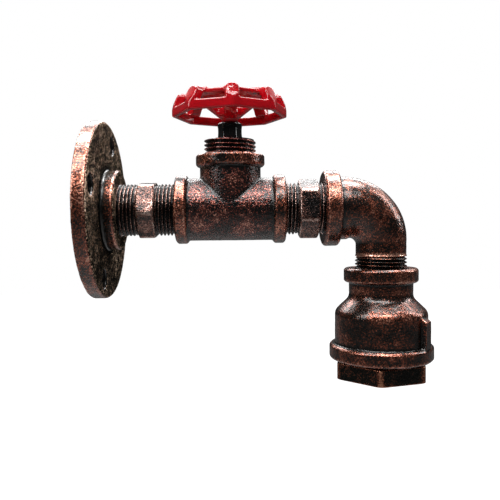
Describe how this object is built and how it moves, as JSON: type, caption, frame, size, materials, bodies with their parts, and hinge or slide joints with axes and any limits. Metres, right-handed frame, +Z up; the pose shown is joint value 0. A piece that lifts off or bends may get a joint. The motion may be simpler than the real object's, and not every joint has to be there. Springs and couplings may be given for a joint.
{
  "type": "pipe wall light",
  "caption": "Wall light of threaded pipe fittings: flange, tee with a turning handwheel, elbow and a bell-shaped holder that faces down.",
  "frame": {"origin": "centre of the flange's back face, on the wall", "axes": "+X out of the wall along the pipe arm, +Z up, Y = 0 the light's middle plane"},
  "size_m": [0.1733, 0.09, 0.1462],
  "materials": {
    "aged_casting": "cast iron under dark brown patina rubbed through to copper, clear lacquer",
    "aged_steel": "steel pipe under near-black brown patina, clear lacquer",
    "black_enamel": "gloss",
    "red_enamel": "gloss",
    "plated_steel": "zinc plated",
    "packing": "matte",
    "porcelain": "glazed",
    "brass": "bright",
    "tinned_copper": "tinned",
    "brown_sleeve": "matte",
    "blue_sleeve": "matte"
  },
  "bodies": {
    "fittings": {"wall_flange": "aged_casting", "wall_nipple": "aged_steel", "tee": "aged_casting", "arm_nipple": "aged_steel", "street_elbow": "aged_casting", "bell_reducer": "aged_casting", "hex_bushing": "aged_steel", "bonnet": "aged_steel", "gland_packing": "packing", "gland_nut": "black_enamel", "socket_body": "porcelain", "screw_shell": "brass", "contact_spring": "plated_steel", "live_terminal": "brass", "neutral_terminal": "brass", "terminal_screws": "plated_steel", "shell_rivets": "brass", "live_lead": "brown_sleeve", "neutral_lead": "blue_sleeve", "lead_ferrules": "tinned_copper"},
    "wheel": {"handwheel": "red_enamel", "valve_stem": "plated_steel", "stem_ring": "plated_steel", "wheel_washer": "plated_steel", "wheel_nut": "plated_steel"},
    "contact": {"contact_pin": "brass", "contact_clip": "plated_steel"}
  },
  "joints": [
    {"name": "wheel_turn", "type": "hinge", "parent": "fittings", "child": "wheel", "pos_m": [0.0692, 0, 0.05], "axis": [0, 0, 1], "continuous": true},
    {"name": "contact_press", "type": "slide", "parent": "fittings", "child": "contact", "axis": [0, 0, 1], "range_m": [0, 0.0015], "stiffness_N_per_m": 400, "springref_m": -0.002, "deforming": ["contact_spring"]}
  ]
}
